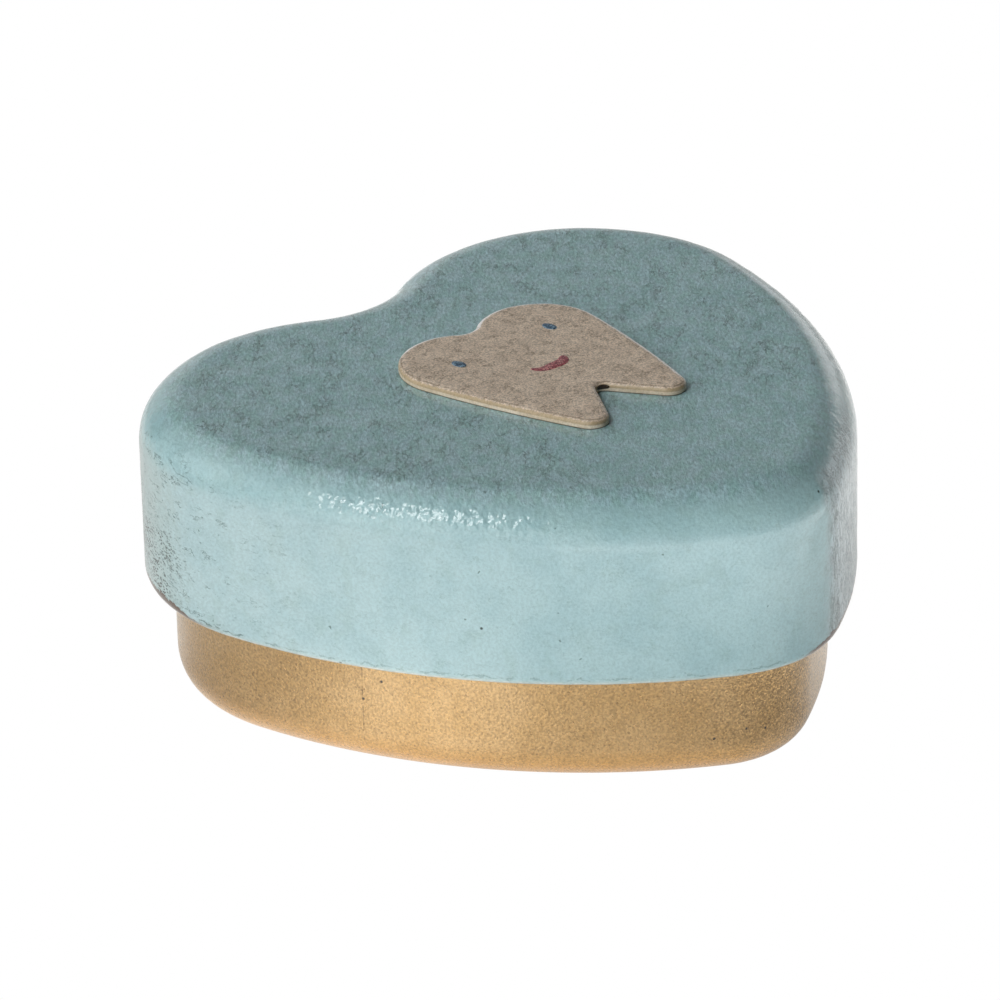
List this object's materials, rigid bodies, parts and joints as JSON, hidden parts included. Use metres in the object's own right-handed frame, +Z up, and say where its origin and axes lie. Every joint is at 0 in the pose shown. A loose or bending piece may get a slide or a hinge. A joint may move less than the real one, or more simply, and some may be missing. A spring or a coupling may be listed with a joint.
{
  "type": "baby tooth box",
  "caption": "Heart-shaped painted wooden keepsake box with a deep lift-off cap lid over a routed cup base; a thin tooth-shaped plaque with a smiling face is glued on the lid.",
  "frame": {"origin": "the middle of the heart's bounding box, on the underside of the base", "axes": "+Z up; the heart's tip points along -Y and its two lobes lie towards +Y; X = 0 is the mirror plane of the heart, and +X is the right-hand side with the tip towards the viewer"},
  "size_m": [0.06, 0.056, 0.0269],
  "materials": {
    "gold_paint": "satin metallic gold paint on wood, with fine flake grain and a few pinholes; bare inside the cavity",
    "azure_paint": "satin pale azure chalk paint on wood, finely crackled",
    "plaque_wood": "matte pale wood sheet with a thin wash and fine grain",
    "blue_paint": "satin dusty blue acrylic paint",
    "red_paint": "satin dusky red acrylic paint"
  },
  "bodies": {
    "base": {"base": "gold_paint"},
    "lid": {"lid": "azure_paint", "tooth_plaque": "plaque_wood", "left_eye": "blue_paint", "right_eye": "blue_paint", "smile": "red_paint"}
  },
  "joints": [
    {"name": "lid_lift", "type": "slide", "parent": "base", "child": "lid", "axis": [0, 0, 1], "range_m": [0, 0.04]}
  ]
}
